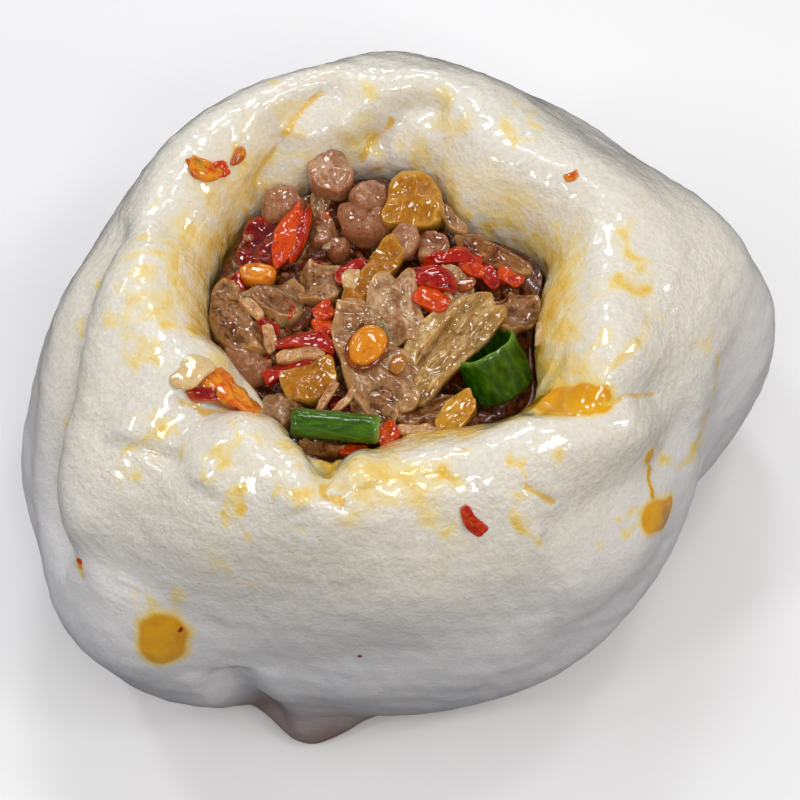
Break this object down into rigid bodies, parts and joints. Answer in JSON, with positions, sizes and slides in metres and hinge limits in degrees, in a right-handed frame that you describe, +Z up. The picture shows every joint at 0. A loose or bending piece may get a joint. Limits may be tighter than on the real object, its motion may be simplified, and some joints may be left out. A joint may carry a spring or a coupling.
{
  "type": "steamed bun",
  "caption": "Soft white steamed bun with a pleated, opened top that shows a braised meat, mushroom and chilli filling, dressed with cut scallion.",
  "frame": {"origin": "middle of the bun's box at the foot it rests on", "axes": "+Z up through the open mouth, -Y towards the low front side of the rim with the foot tab, +X towards the pointed lobe"},
  "size_m": [0.0894, 0.076, 0.0517],
  "materials": {
    "dough": "steamed wheat dough, moist and satin on top with thin oil stains",
    "filling": "glossy braised filling in chilli oil",
    "scallion": "wet green scallion"
  },
  "bodies": {
    "root": {"dough": "dough", "filling": "filling", "scallion_ring": "scallion", "scallion_stick": "scallion"}
  },
  "joints": []
}
